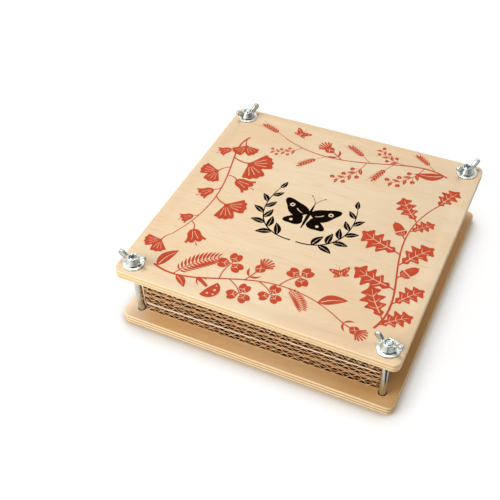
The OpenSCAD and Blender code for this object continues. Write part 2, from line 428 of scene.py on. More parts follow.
def zincFinish(name, look):
    made, spot, shader = newFinish(name)
    haze = noise(spot, look["hazeScale"]).between(0.35, 0.70)
    grime = noise(spot, look["grimeScale"], 4.0, 0.65).between(0.45, 0.80)
    brushed = noise(stretched(spot, look["brush"]), look["brushScale"], 2.0)
    cast = noise(spot, look["castScale"])
    # painted shade: darker in crevices, found by ambient occlusion
    clear = spot.node("AmbientOcclusion", {"samples": 8}, {"Distance": look["creviceShadeReach"]}, 1)
    colour = layered(look, "bright", (haze, "blue"), (grime * 0.35, "dull"),
                     ((1 - clear.between(0.30, 0.85)) * look["creviceShadeShare"], "creviceShadeColour"))
    relief = brushed * look["brushShare"] + cast * (1 - look["brushShare"])
    connect(shader, Base_Color=colour, Metallic=1.0, Normal=bump(relief, look["relief"], 0.08 * mm),
            Roughness=haze * 0.08 + grime * 0.12 + look["rough"])
    return made


def threadShare(turns):  # 1 on a crest, 0 in a root, both a little flat
    flank = abs(2 * (turns % 1.0) - 1)
    return min(1.0, max(0.0, flank * 1.25 - 0.1))


def crossCutter(centre, z, turn):
    size = boltSizes
    bm = bmesh.new()
    rings = []
    for share, height in ((1.0, z - size["crossDepth"] / 4), (size["crossTaper"], z + size["crossDepth"])):
        halfLong = size["crossLength"] / 2 * share
        halfWide = size["crossWidth"] / 2 * (0.5 + share / 2)
        ring = []
        for sx, sy in quarters:
            spot = Vector((halfLong * sx, halfWide * sy, 0))
            spot.rotate(Matrix.Rotation(turn, 3, "Z"))
            ring.append(bm.verts.new((centre.x + spot.x, centre.y + spot.y, height)))
        rings.append(ring)
    bridge(bm, rings[0], rings[1])
    bm.faces.new(rings[0])
    bm.faces.new(rings[1])
    return newObject("cutter", meshFrom(bm, "cutter"))


def carve(piece, cutters):
    for cutter in cutters:
        cut = piece.modifiers.new("cut", "BOOLEAN")
        cut.operation = "DIFFERENCE"
        cut.solver = "EXACT"
        cut.object = cutter
    settle(piece)
    for cutter in cutters:
        bpy.data.objects.remove(cutter)


def settle(piece):  # turns the modifiers into plain mesh
    graph = bpy.context.evaluated_depsgraph_get()
    done = bpy.data.meshes.new_from_object(piece.evaluated_get(graph))
    piece.modifiers.clear()
    piece.data = done


def boltPiece(corner, finish, endFinish):
    size = boltSizes
    node = "bolt_" + corner
    low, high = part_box(node)
    centre = middle(node)
    headRadius = (high.x - low.x) / 2
    dome = size["headHeight"] - size["rimHeight"]
    domeRadius = (headRadius ** 2 + dome ** 2) / (2 * dome)
    reach = degrees(asin(headRadius / domeRadius))
    seat = low.z + size["headHeight"]
    shank = size["shankRadius"]
    rim = size["rimRadius"]
    fillet = size["filletRadius"]
    profile = arc((0, low.z + domeRadius), domeRadius, -90 + reach / 10, -90 + reach, 9)
    profile += arc((headRadius - rim, seat - rim), rim, 0, 90, 3)
    profile += arc((shank + fillet, seat + fillet), fillet, 270, 180, 3)
    start = high.z - size["threadLength"]
    profile += [(shank, start * share + seat * (1 - share)) for share in (0.2, 0.4, 0.6, 0.8)]
    bm = bmesh.new()

    def level(radius, z):
        return ringAt(bm, centre, radius, z, size["around"])

    rings = [level(radius, z) for radius, z in profile]
    step = size["pitch"] / size["rowsPerTurn"]
    rows = round(size["threadLength"] / step)
    for row in range(rows + 1):
        z = start + row * step
        ring = level(shank, z)
        fade = min(1.0, row / size["rowsPerTurn"], (rows - row) / size["rowsPerTurn"])
        limit = shank - max(0.0, size["chamfer"] - (high.z - z))
        for i, vert in enumerate(ring):
            crest = threadShare((z - start) / size["pitch"] - i / size["around"])
            radius = min(limit, shank - size["threadDepth"] * (1 - crest) * fade)
            vert.co.x = centre.x + (vert.co.x - centre.x) * radius / shank
            vert.co.y = centre.y + (vert.co.y - centre.y) * radius / shank
        rings.append(ring)
    rings.append(level(size["dimpleRadius"], high.z))
    rings.append(level(size["dimpleRadius"] * size["dimpleBend"][0],
                       high.z - size["dimpleDepth"] * size["dimpleBend"][1]))
    skin(bm, rings)
    fan(bm, bm.verts.new((centre.x, centre.y, low.z)), rings[0])
    fan(bm, bm.verts.new((centre.x, centre.y, high.z - size["dimpleDepth"])), rings[-1])
    for face in bm.faces:
        inside = all((v.co - centre).xy.length < size["dimpleRadius"] * 1.01 for v in face.verts)
        face.material_index = 1 if inside and face.calc_center_median().z > start else 0
    piece = keep(bm, node + "_rolled", "base", finish)
    piece.data.materials.append(endFinish)
    turn = radians(size["crossTurn"] + size["crossStep"] * corners.index(corner))
    carve(piece, [crossCutter(centre, low.z, turn), crossCutter(centre, low.z, turn + pi / 2)])
    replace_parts(piece, node)


washerSizes = {
    "clearance": 0.2 * mm,
    "soft": 0.35 * mm,  # radius of the upper edges, which the press rounds off
    "burr": 0.12 * mm,
    "around": 64,
}


def washerPiece(corner, finish):
    node = "washer_" + corner
    low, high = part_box(node)
    rim = (high.x - low.x) / 2
    hole = boltSizes["shankRadius"] + washerSizes["clearance"]
    soft = washerSizes["soft"]
    burr = washerSizes["burr"]
    profile = arc((hole + burr, low.z + burr), burr, 270, 180, 2)
    profile += arc((hole + soft, high.z - soft), soft, 180, 90, 4)
    profile += arc((rim - soft, high.z - soft), soft, 90, 0, 5)
    profile += arc((rim - burr, low.z + burr), burr, 0, -90, 2)
    bm = bmesh.new()
    rings = [ringAt(bm, middle(node), radius, z, washerSizes["around"]) for radius, z in profile]
    skin(bm, rings + rings[:1])
    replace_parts(keep(bm, node + "_pressed", node, finish), node)


nutCasting = {"voxel": 0.20 * mm, "rounding": 7, "roundingShare": 0.5}  # passes, and each one's share


def nutPiece(corner, finish):
    node = "wing_nut_" + corner
    cast = newObject(node + "_cast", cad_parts[node].data.copy())
    remesh = cast.modifiers.new("cast", "REMESH")
    remesh.mode = "VOXEL"
    remesh.voxel_size = nutCasting["voxel"]
    remesh.use_smooth_shade = True
    smooth = cast.modifiers.new("round", "SMOOTH")
    smooth.factor = nutCasting["roundingShare"]
    smooth.iterations = nutCasting["rounding"]
    settle(cast)
    cast.data.materials.clear()
    cast.data.materials.append(finish)
    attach(cast, node)
    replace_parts(cast, node)


boltZinc = zincFinish("zinc_bolt", boltLook)
washerZinc = zincFinish("zinc_washer", washerLook)
nutZinc = zincFinish("zinc_nut", nutLook)
shadedHollowEnd = zincFinish("shaded_bolt_end", shadedEndLook)
platedEnd = zincFinish("plated_bolt_end", platedEndLook)
for corner in corners:
    # two bolts get painted shade inside their hollow ends, the other two plated zinc
    boltPiece(corner, boltZinc, platedEnd if corner in ("front_right", "back_left") else shadedHollowEnd)
    washerPiece(corner, washerZinc)
    nutPiece(corner, nutZinc)
print("bolts, washers and wing nuts made")


# Pile: corrugated cards, and two blotting papers over each but the top one

cardSizes = {
    "liner": 0.30 * mm,
    "medium": 0.37 * mm,  # the fluted paper
    "flutePitch": 7.8 * mm,
    "stepsPerFlute": 12,
    "frayed": 0.16 * mm,  # how unevenly the cut ends lie
    "recessed": 0.02 * mm,  # how far the flutes' ends lie back from the liners'
    "washboard": 0.06 * mm,  # how far a liner dips between the flutes that hold it
    "glued": 0.02 * mm,  # how far the fluted paper reaches into the liners
    "lean": 0.25,  # how far a card's flutes may lean, in radians of their wave
    "crushed": 0.78,  # share of its height that a flute keeps at least
    "crushes": 64,
}
paperSizes = {
    "columns": 60,
    "frayed": 0.06 * mm,
    "wander": 0.20 * mm,
    "waves": (23, 9),  # of the wander, in radians over the paper's width
    "inside": 1.3 * mm,  # how far most papers lie behind the cards' edges
    "stations": (0.0, 0.4, 0.8, 1.0),  # and how far the two that show lie back, left to right
    "shown": {"2": (0.10 * mm, 0.12 * mm, 1.2 * mm, 1.5 * mm),
              "4": (1.5 * mm, 0.8 * mm, 0.12 * mm, 0.7 * mm)},
}
cardLook = {"light": (0.760, 0.490, 0.275), "dark": (0.640, 0.380, 0.185), "fibre": (0.82, 0.55, 0.33),
            "speck": (0.330, 0.180, 0.085), "sheen": 0.2, "patchScale": 400.0, "fibreScale": 1500.0,
            "speckScale": 2300.0, "fuzzScale": 5000.0}
# the cut ends: paler as fresh cut fibre, and paler still as painted light on the pile's shaded front
cutPaleLitLook = dict(cardLook, light=(0.970, 0.680, 0.420), dark=(0.850, 0.530, 0.285),
               fibre=(0.98, 0.75, 0.49), speck=(0.330, 0.170, 0.070))
# inside the flutes, near black: painted shade in the cells between the liners
shadedInsideLook = dict(cardLook, light=(0.330, 0.110, 0.025), dark=(0.030, 0.006, 0.001),
                  fibre=(0.16, 0.05, 0.010), speck=(0.030, 0.010, 0.002), sheen=0.03, patchScale=330.0)
paperLook = {"white": (0.93, 0.85, 0.77), "cream": (0.90, 0.80, 0.70), "shadow": (0.74, 0.62, 0.51),
             "cloudScale": 24.0, "fibreScale": 1800.0}


def cardFinish(name, look):
    made, spot, shader = newFinish(name)
    fibres = noise(stretched(spot, (1, 0.25, 1)), look["fibreScale"], 4.0, 0.65).between(0.35, 0.70)
    specks = noise(spot, look["speckScale"], 2.0).between(0.66, 0.76)
    patches = noise(spot, look["patchScale"], 2.0).between(0.38, 0.62)
    colour = layered(look, "light", (patches, "dark"), (fibres * 0.4, "fibre"), (specks * 0.5, "speck"))
    fuzz = fibres + noise(spot, look["fuzzScale"], 2.0) * 0.6
    connect(shader, Base_Color=colour, Roughness=0.88 - fibres * 0.08,
            Specular_IOR_Level=look["sheen"], Normal=bump(fuzz, 0.5, 0.08 * mm))
    return made


def paperFinish(name, look):
    made, spot, shader = newFinish(name)
    fibres = noise(spot, look["fibreScale"], 5.0, 0.7).between(0.35, 0.68)
    clouds = noise(spot, look["cloudScale"]).between(0.35, 0.65)
    colour = layered(look, "white", (clouds, "cream"), (fibres * 0.25, "shadow"))
    connect(shader, Base_Color=colour, Roughness=0.92, Specular_IOR_Level=0.15,
            Normal=bump(fibres, 0.4, 0.08 * mm))
    return made


def sheetPlan(node):  # centre, turn, half width and half the length of the uncut side, from the frame
    low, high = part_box(node)
    centre = (low + high) / 2
    spots = np.array([v.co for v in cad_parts[node].data.vertices])[:, :2]
    spots = spots - np.array(centre[:2])
    ahead = spots[np.argmax(spots @ (1, 0.5))]
    behind = spots[np.argmax(spots @ (1, -0.5))]
    side = ahead - behind
    turn = atan2(-side[0], side[1])
    return centre, turn, np.linalg.norm(ahead + behind) / 2, np.linalg.norm(side) / 2


def reachAt(x, half, side):  # how far a sheet with cut corners goes from its middle at x
    return half - max(0.0, abs(x) - side)


def strip(bm, columns, under=0, over=0, cut=0):  # a closed sheet through (x, low, high, front, back)
    posts = []
    for x, low, high, front, back in columns:
        posts.append([bm.verts.new(v) for v in ((x, front, low), (x, back, low),
                                                (x, back, high), (x, front, high))])
    for near, far in zip(posts, posts[1:]):
        sides = bridge(bm, near, far)
        for side, finish in zip(sides, (under, cut, over, cut)):
            side.material_index = finish
    for end in (posts[0], posts[-1]):
        bm.faces.new(end).material_index = cut


def layDown(bm, centre, turn, low):
    move = Matrix.Translation((centre.x, centre.y, low)) @ Matrix.Rotation(turn, 4, "Z")
    bmesh.ops.transform(bm, matrix=move, verts=bm.verts)


def cardPiece(node, finish, shadedInsideFinish, cutPaleLitFinish):
    size = cardSizes
    centre, turn, half, side = sheetPlan(node)
    low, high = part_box(node)
    thick = high.z - low.z
    draw = random.Random(node)
    shift = draw.random()
    count = round(2 * half / size["flutePitch"] * size["stepsPerFlute"])
    xs = [half * (2 * i / count - 1) for i in range(count + 1)]
    swing = (thick - 2 * size["liner"] - size["medium"]) / 2
    lean = draw.uniform(-size["lean"], size["lean"])
    crush = [draw.uniform(size["crushed"], 1.0) for _ in range(size["crushes"])]
    flutes, lower, upper = [], [], []
    for x in xs:
        turns = x / size["flutePitch"] + shift
        angle = 2 * pi * turns
        wave = cos(angle + lean * sin(angle))
        flute = int(turns + 0.5) if wave > 0 else int(turns)
        height = swing * wave * crush[flute % size["crushes"]]
        slope = 2 * pi * swing / size["flutePitch"] * sin(angle)
        body = size["medium"] / 2 * sqrt(1 + slope * slope)
        middleZ = thick / 2 + height
        bottom = max(size["liner"] - size["glued"], middleZ - body)
        top = min(thick - size["liner"] + size["glued"], middleZ + body)
        reach = reachAt(x, half, side)
        front = -reach + size["recessed"] + draw.uniform(0, size["frayed"])
        back = reach - size["recessed"] - draw.uniform(0, size["frayed"])
        flutes.append((x, bottom, top, front, back))
        dip = size["washboard"] * (1 - wave) / 2
        rise = size["washboard"] * (1 + wave) / 2
        edge = [draw.uniform(0, size["frayed"] / 2) for _ in range(4)]
        lower.append((x, rise, size["liner"], -reach + edge[0], reach - edge[1]))
        upper.append((x, thick - size["liner"], thick - dip, -reach + edge[2], reach - edge[3]))
    bm = bmesh.new()
    # slot 1 is painted shade inside the cells, slot 2 the paler cut ends with painted light
    strip(bm, lower, 0, 1, 2)
    strip(bm, flutes, 1, 1, 2)
    strip(bm, upper, 1, 0, 2)
    layDown(bm, centre, turn, low.z)
    piece = keep(bm, node + "_fluted", node, finish)
    piece.data.materials.append(shadedInsideFinish)
    piece.data.materials.append(cutPaleLitFinish)
    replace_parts(piece, node)


def paperPiece(node, finish):
    size = paperSizes
    centre, turn, half, side = sheetPlan(node)
    low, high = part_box(node)
    draw = random.Random(node)
    shown = size["shown"].get(node.split("_")[1], (size["inside"],) * 4)
    columns = []
    for i in range(size["columns"] + 1):
        share = i / size["columns"]
        x = (half - size["inside"]) * (2 * share - 1)
        reach = reachAt(x, half, side)
        wander = sin(size["waves"][0] * share + 2) * cos(size["waves"][1] * share)
        wander = size["wander"] * (1 + wander)
        front = np.interp(share, size["stations"], shown) + wander + draw.uniform(0, size["frayed"])
        back = size["inside"] * draw.uniform(0.95, 1.0)
        columns.append((x, 0.0, high.z - low.z, -reach + front, reach - back))
    bm = bmesh.new()
    strip(bm, columns)
    layDown(bm, centre, turn, low.z)
    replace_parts(keep(bm, node + "_soft", node, finish), node)


kraft = cardFinish("kraft_card", cardLook)
kraftShadedInside = cardFinish("kraft_inside_shaded", shadedInsideLook)
kraftCutPaleLit = cardFinish("kraft_cut_pale_lit", cutPaleLitLook)
blotting = paperFinish("blotting_paper", paperLook)
for node in sorted(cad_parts):
    if node.startswith("card_"):
        cardPiece(node, kraft, kraftShadedInside, kraftCutPaleLit)
    elif node.startswith("blotter_"):
        paperPiece(node, blotting)
print("cards and papers made")


# Print on the top board: flat plant shapes. Complex numbers are points, and each motif grows
# along +X from the origin to a length of 1. A later shape lies over an earlier one, and a
# cut leaves bare wood.

printSizes = {
    "film": 0.02 * mm,  # above the wood
    "sunk": 0.02 * mm,
    "shortest": 1e-4,  # shortest side of an outline, in mm
    "gap": 1e-5,
}
coralLook = {"ink": (0.530, 0.060, 0.018), "thin": (0.640, 0.112, 0.042), "grain": (0.42, 0.041, 0.013),
             "sheen": 0.20, "coverScale": 160.0, "grainScale": 900.0}
blackLook = dict(coralLook, ink=(0.007, 0.004, 0.002), thin=(0.018, 0.011, 0.007),
                 grain=(0.004, 0.002, 0.001), sheen=0.0)


def inkFinish(name, look):
    made, spot, shader = newFinish(name)
    cover = noise(spot, look["coverScale"], 4.0, 0.6).between(0.55, 0.80)
    grain = noise(stretched(spot, (0.06, 1, 1)), look["grainScale"], 2.0, 0.6).between(0.56, 0.72)
    colour = layered(look, "ink", (cover * 0.5, "thin"), (grain * 0.5, "grain"))
    connect(shader, Base_Color=colour, Roughness=0.50 + grain * 0.12, Specular_IOR_Level=look["sheen"],
            Normal=bump(grain, 0.2, 0.05 * mm))
    return made


def follow(path, share):  # point and heading on a cubic curve
    a, b, c, d = path
    rest = 1 - share
    place = rest ** 3 * a + 3 * rest ** 2 * share * b + 3 * rest * share ** 2 * c + share ** 3 * d
    slope = rest ** 2 * (b - a) + 2 * rest * share * (c - b) + share ** 2 * (d - c)
    return place, phase(slope)


def ribbon(path, wide, thin, steps=16):
    left, right = [], []
    for i in range(steps + 1):
        place, heading = follow(path, i / steps)
        half = (wide + (thin - wide) * i / steps) / 2 * rect(1, heading + pi / 2)
        left.append(place + half)
        right.append(place - half)
    return left + right[::-1]


def outline(width, steps, bend=0.0, start=0.0, stop=1.0):  # a mirrored outline from its half width
    left, right = [], []
    for i in range(steps + 1):
        share = i / steps
        centre = start + (stop - start) * share + 1j * bend * sin(pi * share)
        left.append(centre + 1j * width(share))
        right.append(centre - 1j * width(share))
    return left + right[::-1][1 if width(1) == 0 else 0:]


def sector(centre, radius, start, stop, steps):
    return [centre + rect(radius, radians(start + (stop - start) * i / steps))
            for i in range(steps + 1)]


def disc(centre, radius, steps=18):
    return [centre + rect(radius, 2 * pi * i / steps) for i in range(steps)]


def put(shapes, place, angle, size):
    turn = rect(size, angle)
    return [(kind, [place + turn * point for point in points]) for kind, points in shapes]


def mirrored(shapes):
    return [(kind, [point.conjugate() for point in points]) for kind, points in shapes]


def straight(start, stop, bend=0.0):
    across = (stop - start) * 1j * bend
    return (start, start + (stop - start) / 3 + across, start + (stop - start) * 2 / 3 + across, stop)


def line(kind, start, stop, wide, thin, steps, bend=0.0):
    return kind, ribbon(straight(start, stop, bend), wide, thin, steps)


def leaf(width=0.34, bend=0.06, vein=True):
    shapes = [("ink", outline(lambda s: width / 2 * sin(pi * s ** 0.8) ** 0.9 if s < 1 else 0,
                              18, bend, 0.02))]
    shapes.append(line("ink", 0, 0.1, 0.04, 0.04, 2))
    if vein:
        shapes.append(line("cut", 0.12, 0.84, 0.035, 0.012, 10, bend * 1.3))
    return shapes


def fern():
    path = straight(0, 1, 0.12)
    shapes = [("ink", ribbon(path, 0.026, 0.008))]
    for k in range(2, 14):
        share = k / 14.2
        place, heading = follow(path, share)
        length = 0.26 * sin(pi * (0.12 + 0.72 * (1 - share) ** 0.8))
        for side in (1, -1):
            lean = side * (1.1 - 0.4 * share)
            shapes += put(leaf(0.22, 0.07 * side, False), place, heading + lean, length)
    return shapes


def oakLeaf():
    def width(s):
        lobes = 0.72 + 0.28 * cos(2 * pi * (s * 4.2 - 0.42))
        return 0.29 * sin(pi * s ** 1.25) ** 0.62 * lobes if 0 < s < 1 else 0
    shapes = [("ink", outline(width, 56, 0.05, 0.10)), line("ink", 0, 0.2, 0.035, 0.035, 2),
              line("cut", 0.2, 0.88, 0.022, 0.008, 10, 0.05)]
    for k in range(3):
        base = 0.34 + 0.17 * k + 0.03j
        for side in (1, -1):
            tip = base.real + 0.10 + 1j * (0.03 + side * (0.15 - 0.02 * k))
            shapes.append(line("cut", base, tip, 0.016, 0.008, 4, 0.1 * side))
    return shapes


def acorn():
    cap = sector(0.42, 0.23, 90, 270, 14)
    nut = outline(lambda s: 0.19 * sqrt(max(0.0, 1 - s ** 2.6)), 16, 0, 0.46, 0.93)
    shapes = [("ink", cap), ("ink", nut), line("ink", 0.9, 1, 0.05, 0.01, 2),
              line("ink", 0, 0.24, 0.05, 0.05, 4, 0.1)]
    for k in (-1, 0, 1):
        shapes.append(line("cut", 0.24 + 0.06j * k, 0.38 + 0.11j * k, 0.014, 0.014, 2))
    return shapes


def ginkgo():
    rim = []
    for i in range(41):
        side = i / 20 - 1
        notch = 0.22 * exp(-(side / 0.10) ** 2)
        radius = 0.60 - notch + 0.018 * cos(side * 26) - 0.10 * side ** 4
        rim.append(0.38 + rect(radius, radians(68 * side)))
    rim = [0.38 + 0j, 0.44 - 0.07j] + rim + [0.44 + 0.07j]
    shapes = [("ink", rim), line("ink", 0, 0.42, 0.03, 0.045, 8, -0.12)]
    for k in (-3, -2, -1, 1, 2, 3):
        angle = radians(17 * k)
        foot, tip = 0.42 + rect(0.13, angle), 0.40 + rect(0.44, angle)
        shapes.append(line("cut", foot, tip, 0.010, 0.016, 2))
    return shapes


def clover():
    shapes = [line("ink", 0, 0.58, 0.035, 0.03, 8, 0.10)]
    heart = []
    for i in range(25):
        angle = radians(-180 + 15 * i)
        radius = 0.19 * (1 - 0.42 * exp(-(angle / 0.34) ** 2)) * (0.86 + 0.14 * cos(angle))
        heart.append(0.20 + rect(radius, angle))
    heart = [0j] + heart[1:-1]
    for turn in (0, 112, -112):
        piece = [("ink", heart), line("cut", 0.07, 0.25, 0.010, 0.010, 2),
                 line("cut", 0.12 + 0.10j, 0.19, 0.014, 0.014, 2),
                 line("cut", 0.12 - 0.10j, 0.19, 0.014, 0.014, 2)]
        shapes += put(piece, 0.59, radians(turn), 1.0)
    return shapes


def thistle():
    bulb = outline(lambda s: 0.155 * sin(pi * (0.06 + 0.80 * s)) ** 0.8, 16, 0, 0.42, 0.70)
    shapes = [line("ink", 0, 0.46, 0.035, 0.04, 8, -0.05), ("ink", bulb)]
    for k in range(-3, 4):
        spike = outline(lambda s: 0.018 + 0.012 * s, 2, 0, 0.0, 0.34 - 0.012 * k * k)
        shapes += put([("ink", spike)], 0.66 + 0.024j * k, 0.26 * k, 1.0)
    for k in (-1, 1):
        shapes.append(line("cut", 0.47 + 0.09j * k, 0.66 - 0.06j * k, 0.014, 0.014, 5, 0.05))
        shapes += put(leaf(0.22, 0.12 * k, False), 0.16, 0.75 * k, 0.34)
    return shapes


def bell():
    def width(s):
        return 0.055 + 0.13 * min(1.0, s * 3.2) ** 0.6 + 0.13 * s ** 4
    half = []
    for i in range(15):
        s = i / 14
        half.append(0.34 + 0.46 * s + 1j * width(s))
    rim = []
    for i in range(1, 12):
        across = 1 - i / 6
        rim.append(0.80 + 0.085 * abs(sin(pi * 1.5 * across)) + 1j * width(1) * across)
    shapes = [("ink", half + rim + [p.conjugate() for p in reversed(half)]),
              line("ink", 0, 0.36, 0.03, 0.04, 8, 0.22),
              line("ink", 0.84, 0.98, 0.02, 0.03, 2),
              ("ink", disc(0.98, 0.026, 10))]
    for k in (-1, 1):
        shapes.append(line("cut", 0.42 + 0.03j * k, 0.74 + 0.09j * k, 0.012, 0.016, 5, -0.04 * k))
    return shapes


def wheat():
    path = straight(0, 1, -0.05)
    shapes = [("ink", ribbon(path, 0.018, 0.012))]
    for k in range(6):
        place, heading = follow(path, 0.36 + 0.085 * k)
        for side in (1, -1):
            shapes += put(leaf(0.40, 0.0, False), place, heading + side * 0.62, 0.14)
            tip = place + rect(0.13, heading + side * 0.62)
            beard = tip + rect(0.16, heading + side * 0.3)
            shapes.append(line("ink", tip, beard, 0.010, 0.004, 2))
    shapes += put(leaf(0.40, 0.0, False), 0.84 + 0j, 0, 0.16)
    return shapes


def mushroom():
    cap = sector(0.60 + 0j, 0.36, -90, 90, 22)
    cap = [0.60 + (p - 0.60).real * 1.05 + 1j * p.imag for p in cap]
    edge = [0.60 - 0.045 * sin(pi * i / 8) + 1j * 0.36 * (1 - i / 4) for i in range(1, 8)]
    shapes = [("ink", cap + edge), line("ink", 0, 0.50, 0.15, 0.10, 8, 0.04)]
    dots = ((0.78 + 0.10j, 0.045), (0.72 - 0.15j, 0.038), (0.88 - 0.05j, 0.030), (0.68 + 0.25j, 0.026))
    for spot, size in dots:
        shapes.append(("cut", disc(spot, size, 12)))
    for k in (-1, 1):
        shapes += put(leaf(0.14, 0.1 * k, False), 0.0, 0.55 * k, 0.36)
    return shapes


def moth():
    shapes = [("ink", outline(lambda s: 0.030 * sin(pi * (0.08 + 0.86 * s)), 12, 0, 0.16, 0.80))]
    fore, hind = [], []
    for i in range(24):
        angle = 2 * pi * i / 24
        radius = 1 + 0.16 * cos(3 * angle + 0.5)
        fore.append(0.26 * radius * cos(angle) + 0.15j * radius * sin(angle))
        hind.append(0.17 * radius * cos(angle) + 0.12j * radius * sin(angle))
    for side in (1, -1):
        eye = 0.10 + 0.01j
        wing = [("ink", fore), ("cut", disc(eye, 0.045, 14)), ("ink", disc(eye, 0.020, 10)),
                line("cut", -0.17, -0.02, 0.012, 0.018, 4, 0.1)]
        wings = put(wing, 0.60 + 0.26j, radians(58), 1.0)
        wing = [("ink", hind), ("cut", disc(0.05 + 0j, 0.030, 12))]
        wings += put(wing, 0.32 + 0.19j, radians(118), 1.0)
        wings.append(line("ink", 0.78, 0.98 + 0.12j, 0.010, 0.008, 6, -0.12))
        wings.append(("ink", disc(0.98 + 0.12j, 0.014, 8)))
        shapes += wings if side > 0 else mirrored(wings)
    return shapes


def berries():
    path = straight(0, 1, 0.16)
    shapes = [("ink", ribbon(path, 0.022, 0.010))]
    for k, share in enumerate((0.26, 0.42, 0.58, 0.74, 0.90)):
        place, heading = follow(path, share)
        side = 1 if k % 2 else -1
        tip = place + rect(0.15 - 0.05 * share, heading + side * 0.95)
        shapes.append(line("ink", place, tip, 0.012, 0.012, 4, 0.1 * side))
        berry = tip + rect(0.045, heading + side * 0.8)
        shapes.append(("ink", disc(berry, 0.056)))
        shapes.append(("cut", disc(berry + rect(0.022, heading + 1.2), 0.011, 8)))
        shapes += put(leaf(0.42, 0.05 * side, True), place, heading - side * 0.75, 0.24 - 0.08 * share)
    return shapes


def spray(path, wide, thin, twigs):
    shapes = [("ink", ribbon(path, wide, thin, 40))]
    for share, lean, size, motif in twigs:
        place, heading = follow(path, share)
        shapes += put(motif(), place, heading + radians(lean), size)
    return shapes


def leafed(width):
    return lambda: leaf(width, 0.08)


# One branch a side, each from near a corner towards the next one, in mm. A twig is its share
# along the branch, its angle from it in degrees, its length in mm and its motif.
branches = [
    {"path": (-77 - 84j, -40 - 100j, -8 - 46j, 54 - 80j), "wide": 1.5, "thin": 0.7, "twigs": [
        (0.02, 88, 20, leafed(0.40)), (0.15, 46, 35, fern), (0.17, -44, 13, leafed(0.42)),
        (0.30, -44, 21, mushroom), (0.42, 64, 27, clover), (0.47, -56, 25, clover),
        (0.55, 50, 25, thistle), (0.62, -44, 24, clover), (0.72, 50, 27, clover),
        (0.76, -40, 22, fern), (0.90, 44, 20, leafed(0.40)), (1.0, 8, 22, thistle)]},
    {"path": (76 - 78j, 92 - 44j, 52 - 6j, 80 + 44j), "wide": 1.6, "thin": 0.8, "twigs": [
        (0.03, -30, 24, oakLeaf), (0.08, 46, 30, oakLeaf), (0.22, -44, 25, oakLeaf),
        (0.33, 62, 32, oakLeaf), (0.42, -50, 19, acorn), (0.52, -48, 30, oakLeaf),
        (0.60, 60, 33, oakLeaf), (0.72, 40, 19, acorn), (0.78, -40, 20, oakLeaf),
        (0.86, 52, 27, oakLeaf), (1.0, 4, 25, oakLeaf)]},
    {"path": (78 + 78j, 46 + 96j, 6 + 48j, -50 + 76j), "wide": 1.4, "thin": 0.7, "twigs": [
        (0.02, 40, 22, leafed(0.38)), (0.10, -26, 24, wheat), (0.18, 50, 33, berries),
        (0.30, -38, 27, berries), (0.38, 52, 27, wheat), (0.52, -48, 27, wheat),
        (0.54, 44, 32, berries), (0.68, -40, 25, thistle), (0.76, 48, 26, wheat),
        (0.90, 46, 24, berries), (1.0, 4, 27, wheat)]},
    {"path": (-76 + 66j, -90 + 46j, -52 + 4j, -80 - 54j), "wide": 1.5, "thin": 0.7, "twigs": [
        (0.03, 44, 22, ginkgo), (0.20, -50, 18, bell), (0.33, 66, 33, ginkgo),
        (0.44, -56, 24, ginkgo), (0.52, 62, 26, bell), (0.62, -46, 21, bell),
        (0.70, 60, 28, ginkgo), (0.84, -34, 17, bell), (0.90, 52, 25, bell),
        (1.0, 0, 21, ginkgo)]},
]
loose = [(moth, -43 + 80j, 70, 14), (moth, 44 - 48j, 120, 14)]  # motif, place, angle, length
wreath = {
    "path": (2 - 27j, 26 - 28j, 38 - 8j, 30 + 20j),  # its right arm, and the left one mirrors it
    "wide": 1.1,
    "thin": 0.6,
    "leaves": ((0.16, 50), (0.24, -46), (0.34, 48), (0.42, -46), (0.52, 46), (0.60, -44),
               (0.70, 44), (0.78, -40), (0.88, 40), (1.0, 0)),
    "leafLengths": (13, 9),  # at the arm's foot and at its tip
    "mothPlace": -20j,
    "mothLength": 42,
}


def border():
    shapes = []
    for branch in branches:
        shapes += spray(branch["path"], branch["wide"], branch["thin"], branch["twigs"])
    for motif, place, angle, size in loose:
        shapes += put(motif(), place, radians(angle), size)
    return shapes


def emblem():
    shapes = put(moth(), wreath["mothPlace"], pi / 2, wreath["mothLength"])
    foot, tip = wreath["leafLengths"]
    twigs = [(t, lean, foot + (tip - foot) * t, lambda: leaf(0.42, 0.05)) for t, lean in wreath["leaves"]]
    arm = spray(wreath["path"], wreath["wide"], wreath["thin"], twigs)
    return shapes + arm + [(kind, [-p.conjugate() for p in points]) for kind, points in arm]


def inkPiece(name, shapes, finish):
    low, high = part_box("top_board")
    spots, outlines = [], []
    for kind, points in shapes:
        points = [p for i, p in enumerate(points) if abs(p - points[i - 1]) > printSizes["shortest"]]
        turning = sum((points[i - 1].conjugate() * p).imag for i, p in enumerate(points))
        if turning < 0:
            points.reverse()
        outlines.append(list(range(len(spots), len(spots) + len(points))))
        spots += [(p.real, p.imag) for p in points]
    flat = delaunay_2d_cdt(spots, [], outlines, 1, printSizes["gap"])
    faces = [face for face, under in zip(flat[2], flat[5])
             if under and shapes[max(under)][0] == "ink"]
    bm = bmesh.new()
    layers = []
    for z in (high.z - printSizes["sunk"], high.z + printSizes["film"]):
        layers.append([bm.verts.new((x * mm, y * mm, z)) for x, y in flat[0]])
    sides = {}
    for face in faces:
        bm.faces.new([layers[0][i] for i in reversed(face)])
        bm.faces.new([layers[1][i] for i in face])
        for i, j in zip(face, face[1:] + face[:1]):
            if sides.pop((j, i), None) is None:
                sides[(i, j)] = True
    for i, j in sides:
        bm.faces.new((layers[0][i], layers[0][j], layers[1][j], layers[1][i]))
    bmesh.ops.delete(bm, geom=[v for v in bm.verts if not v.link_faces], context="VERTS")
    return keep(bm, name, "top_board", finish, board["sharp"])


inkPiece("print_border", border(), inkFinish("coral_ink", coralLook))
inkPiece("print_emblem", emblem(), inkFinish("black_ink", blackLook))
print("print made")


# Studio: a white floor, a lamp nearly overhead, a large soft one at the front left, and a room
# that is paler at the right

